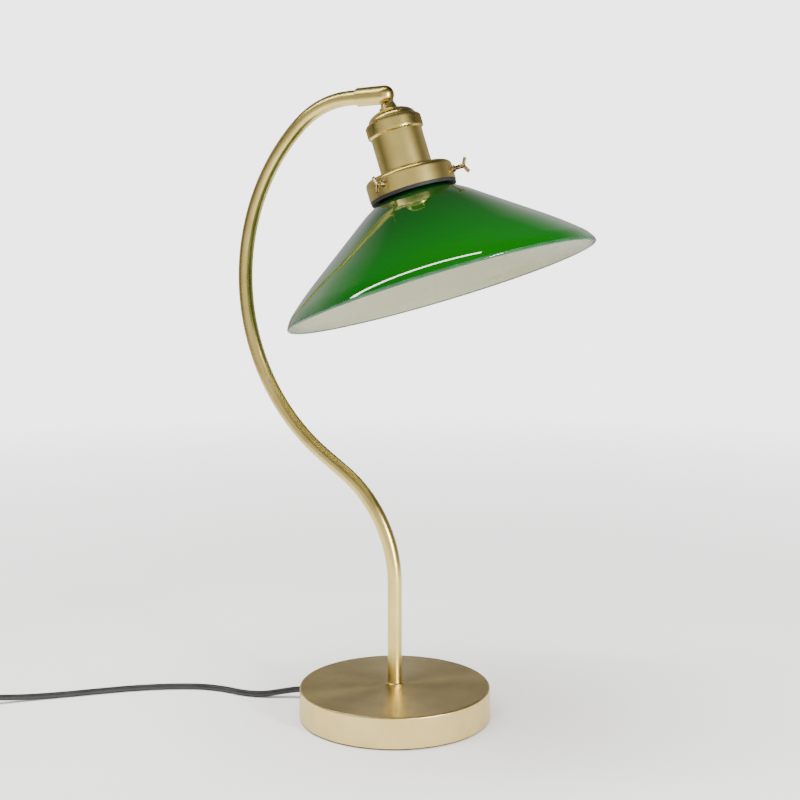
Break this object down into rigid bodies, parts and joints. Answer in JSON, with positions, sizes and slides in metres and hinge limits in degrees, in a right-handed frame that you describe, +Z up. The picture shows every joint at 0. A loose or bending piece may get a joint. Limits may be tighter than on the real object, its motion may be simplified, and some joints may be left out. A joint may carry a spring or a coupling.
{
  "type": "desk lamp",
  "caption": "Desk lamp with a weighted round base, a curved arm, a tilting lampholder and a cased glass cone shade.",
  "frame": {"origin": "centre of the base's underside, on the surface the lamp stands on", "axes": "+Z up, +X the way the head looks, the arm lies in the XZ plane"},
  "size_m": [0.6491, 0.391, 0.5227],
  "materials": {
    "brass_satin": "satin brushed and lacquered",
    "brass_bright": "bare pressed",
    "iron_black": "painted casting",
    "steel_zinc": "zinc plated",
    "nickel_pins": "nickel plated",
    "pad_black": "closed-cell foam",
    "rubber_black": "moulded",
    "cord_black": "smooth PVC sheath",
    "tie_black": "soft strap",
    "plastic_black": "fine moulded grain",
    "plastic_white": "moulded nylon",
    "core_insulation": "PVC core insulation",
    "porcelain": "glazed porcelain",
    "glass_green": "deep green cased glass",
    "glass_opal": "opal white glass",
    "glass_clear": "fire-polished edge"
  },
  "bodies": {
    "stand": {"base_cover": "brass_satin", "base_weight": "iron_black", "bottom_plate": "steel_zinc", "plate_screws": "steel_zinc", "base_pad": "pad_black", "foot_nipple": "steel_zinc", "lock_washer": "steel_zinc", "foot_nut": "steel_zinc", "foot_collar": "brass_satin", "cord_grommet": "rubber_black", "cord_clamp": "plastic_white", "clamp_screws": "steel_zinc", "cord_inside": "cord_black", "arm_tube": "brass_satin", "arm_leads": "core_insulation", "knuckle": "brass_satin", "hinge_pin": "brass_satin", "cord_to_switch": "cord_black", "cord_to_coil": "cord_black", "cord_coil": "cord_black", "cord_tail": "cord_black", "coil_tie": "tie_black", "switch_base": "plastic_black", "switch_cover": "plastic_black", "switch_screws": "steel_zinc", "switch_reliefs": "rubber_black", "switch_contacts": "brass_bright", "plug_body": "plastic_black", "pin_sleeves": "plastic_black", "plug_pins": "nickel_pins"},
    "head": {"hinge_tongue": "brass_satin", "holder_cap": "brass_satin", "stem_nut": "steel_zinc", "neck_grub_screw": "brass_satin", "knurled_ring": "brass_satin", "socket_shell": "brass_satin", "gallery": "brass_satin", "gallery_ring": "brass_satin", "screw_bushes": "brass_satin", "shade_gasket": "rubber_black", "porcelain_insert": "porcelain", "screw_shell": "brass_bright", "centre_contact": "brass_bright", "terminal_screws": "brass_bright", "head_leads": "core_insulation", "shade_casing": "glass_green", "shade_lining": "glass_opal", "shade_rim": "glass_clear"},
    "screw_1": {"thumb_screw_1": "brass_satin"},
    "screw_2": {"thumb_screw_2": "brass_satin"},
    "screw_3": {"thumb_screw_3": "brass_satin"},
    "rocker": {"switch_rocker": "plastic_black"}
  },
  "joints": [
    {"name": "head_tilt", "type": "hinge", "parent": "stand", "child": "head", "pos_m": [-0.00896, 0, 0.51518], "axis": [0, -1, 0], "range_deg": [-13, 60]},
    {"name": "thumb_screw_1_out", "type": "slide", "parent": "head", "child": "screw_1", "axis": [0.8709, 0.3907, 0.2982], "range_m": [0, 0.005]},
    {"name": "thumb_screw_2_out", "type": "slide", "parent": "head", "child": "screw_2", "axis": [-0.7556, 0.6018, -0.2587], "range_m": [0, 0.005]},
    {"name": "thumb_screw_3_out", "type": "slide", "parent": "head", "child": "screw_3", "axis": [-0.1153, -0.9925, -0.0395], "range_m": [0, 0.005]},
    {"name": "switch_rock", "type": "hinge", "parent": "stand", "child": "rocker", "pos_m": [-0.36643, -0.20369, 0.0104], "axis": [0.7193, -0.6947, 0], "range_deg": [-16, 0]}
  ]
}
